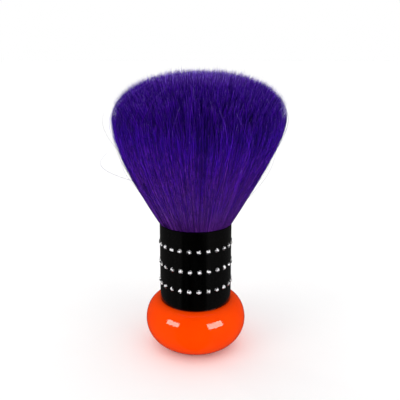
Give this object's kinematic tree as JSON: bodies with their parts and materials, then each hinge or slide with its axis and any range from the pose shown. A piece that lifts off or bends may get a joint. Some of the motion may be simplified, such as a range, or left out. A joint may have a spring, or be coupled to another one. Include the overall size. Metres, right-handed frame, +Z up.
{
  "type": "neck duster brush",
  "caption": "Stand-up salon neck duster: fan of soft purple filaments, black sleeve with rows of cut stones, weighted round orange knob to stand on.",
  "frame": {"origin": "centre of the foot pad's underside, on the surface that the brush stands on", "axes": "+Z up along the handle's axis, towards the tips of the bristles; -Y is the front, +X is to the right seen from the front"},
  "size_m": [0.0694, 0.0694, 0.1161],
  "materials": {
    "pad_rubber": "matte",
    "orange_plastic": "gloss",
    "weight_steel": "satin",
    "screw_steel": "gloss",
    "insert_brass": "satin",
    "black_plastic": "satin",
    "black_anodised": "gloss",
    "cut_glass": "polished",
    "cup_aluminium": "satin",
    "cast_resin": "gloss",
    "cord_thread": "matte",
    "purple_filament": "satin"
  },
  "bodies": {
    "root": {"foot_pad": "pad_rubber", "knob_shell": "orange_plastic", "ballast_weight": "weight_steel", "tie_screw": "screw_steel", "screw_washer": "screw_steel", "threaded_insert": "insert_brass", "handle_core": "black_plastic", "sleeve": "black_anodised", "stones_top_row": "cut_glass", "stones_middle_row": "cut_glass", "stones_bottom_row": "cut_glass", "hair_cup": "cup_aluminium", "root_resin": "cast_resin", "binding_cord": "cord_thread", "bristle_head": "purple_filament"}
  },
  "joints": []
}
